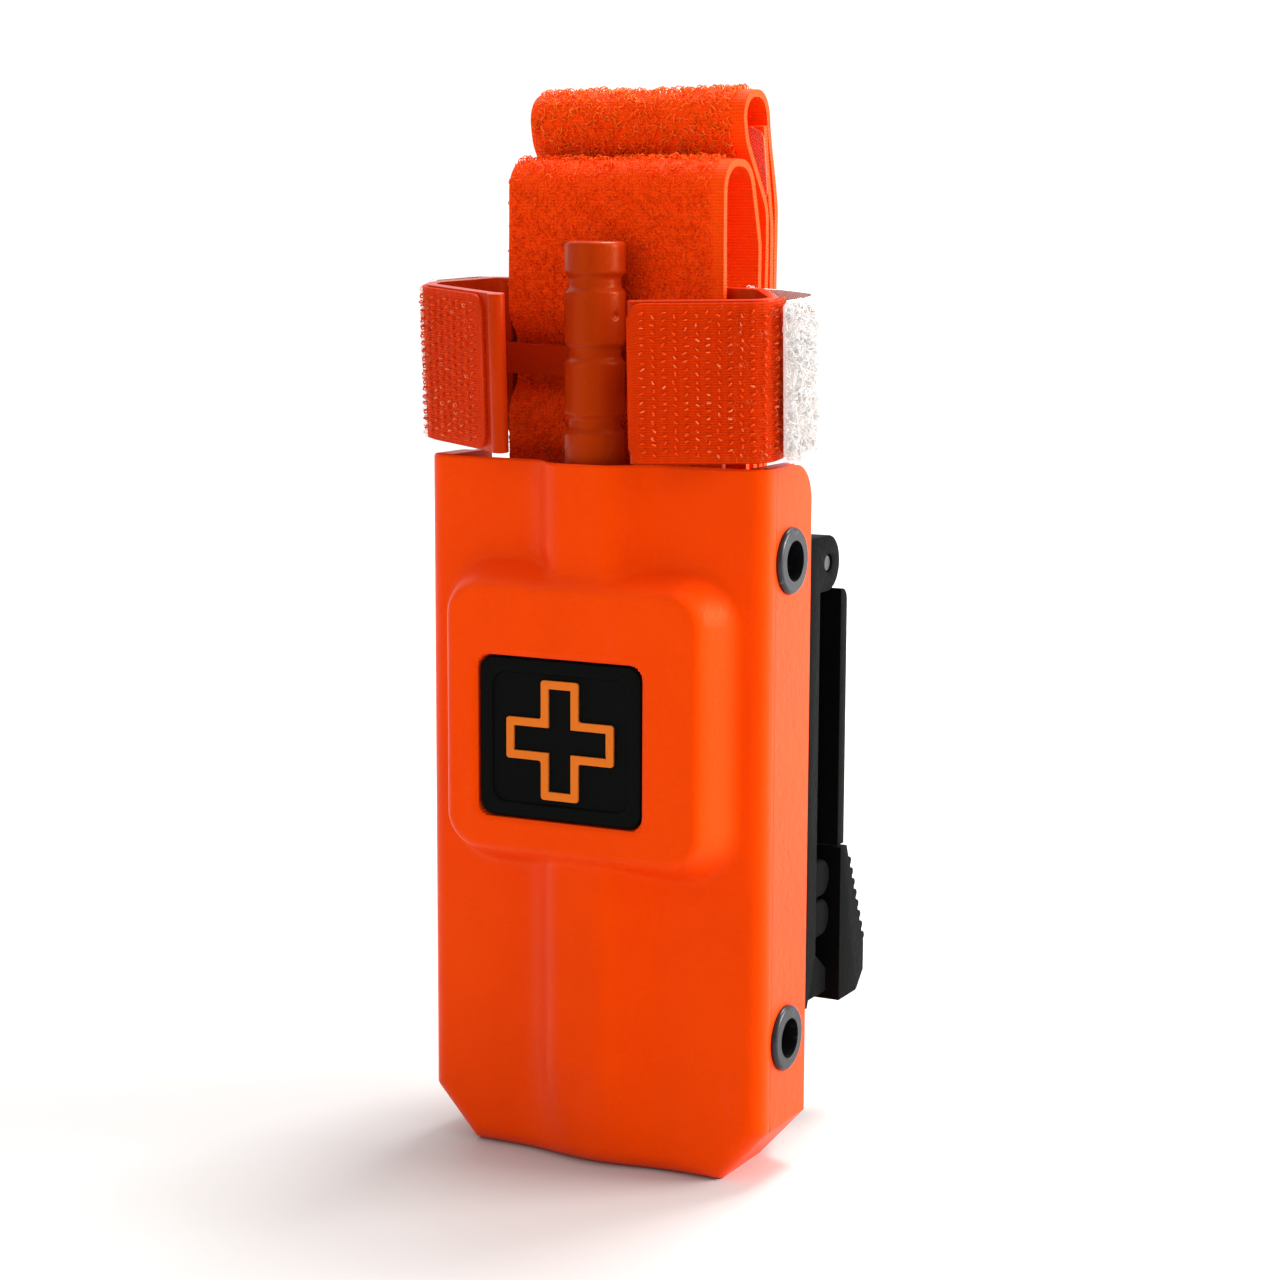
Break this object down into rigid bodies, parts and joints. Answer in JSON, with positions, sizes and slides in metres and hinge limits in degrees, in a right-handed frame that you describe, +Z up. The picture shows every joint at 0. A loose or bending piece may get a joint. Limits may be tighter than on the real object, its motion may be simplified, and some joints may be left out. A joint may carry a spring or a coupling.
{
  "type": "tourniquet",
  "caption": "Windlass tourniquet folded into a rigid two-shell belt case with a hinged belt clip, rubber first-aid patch and riveted eyelets.",
  "frame": {"origin": "centre of the case's flat bottom face", "axes": "+Z up towards the open mouth of the case, +Y to the rear, towards the belt clip, +X to the right seen from the front"},
  "size_m": [0.0692, 0.0629, 0.1706],
  "materials": {
    "shell_plastic": "semi-matte moulded, light grain",
    "clip_plastic": "satin moulded nylon",
    "rod_plastic": "satin moulded, glass filled",
    "band_fabric": "pile tape, smooth inner face",
    "hook_fabric": "woven hook tape",
    "strap_fabric": "white brushed tape",
    "tip_fabric": "woven red end tab",
    "inner_fabric": "flat woven webbing",
    "patch_rubber": "moulded soft rubber",
    "patch_line": "raised coloured line",
    "patch_tape": "black touch tape",
    "belt_clip_plastic": "matt moulded nylon, fine grain",
    "eyelet_metal": "black oxide, worn lip",
    "screw_metal": "black oxide",
    "pin_metal": "turned steel",
    "insert_plastic": "moulded, hidden"
  },
  "bodies": {
    "case": {"front_shell": "shell_plastic", "back_shell": "shell_plastic", "eyelets": "eyelet_metal", "eyelet_washers": "eyelet_metal", "patch_loop_pad": "patch_tape", "patch_hook_pad": "patch_tape", "patch_base": "patch_rubber", "patch_cross": "patch_line", "clip_base": "belt_clip_plastic", "clip_pin": "pin_metal", "clip_screws": "screw_metal", "clip_nuts": "screw_metal", "belt_spacers": "belt_clip_plastic"},
    "belt_leaf": {"clip_leaf": "belt_clip_plastic"},
    "latch_left": {"latch_wing_left": "belt_clip_plastic"},
    "latch_right": {"latch_wing_right": "belt_clip_plastic"},
    "tourniquet": {"windlass_clip": "clip_plastic", "hook_patch_left": "hook_fabric", "hook_patch_right": "hook_fabric", "time_strap": "strap_fabric", "outer_band": "band_fabric", "band_tip": "tip_fabric", "base_plate": "insert_plastic", "inner_band": "inner_fabric", "buckle": "insert_plastic"},
    "windlass": {"windlass_rod": "rod_plastic"}
  },
  "joints": [
    {"name": "belt_leaf_hinge", "type": "hinge", "parent": "case", "child": "belt_leaf", "pos_m": [0, 0.02685, 0.0953], "axis": [1, 0, 0], "range_deg": [0, 105]},
    {"name": "latch_left_squeeze", "type": "slide", "parent": "belt_leaf", "child": "latch_left", "axis": [1, 0, 0], "range_m": [0, 0.002], "stiffness_N_per_m": 600, "springref_m": -0.0005},
    {"name": "latch_right_squeeze", "type": "slide", "parent": "belt_leaf", "child": "latch_right", "axis": [-1, 0, 0], "range_m": [0, 0.002], "stiffness_N_per_m": 600, "springref_m": -0.0005},
    {"name": "tourniquet_draw", "type": "slide", "parent": "case", "child": "tourniquet", "axis": [0, 0, 1], "range_m": [0, 0.125]},
    {"name": "windlass_roll", "type": "hinge", "parent": "tourniquet", "child": "windlass", "pos_m": [-0.0004, -0.00695, 0.0841], "axis": [0, 0, 1], "range_deg": [-4, 4]}
  ]
}
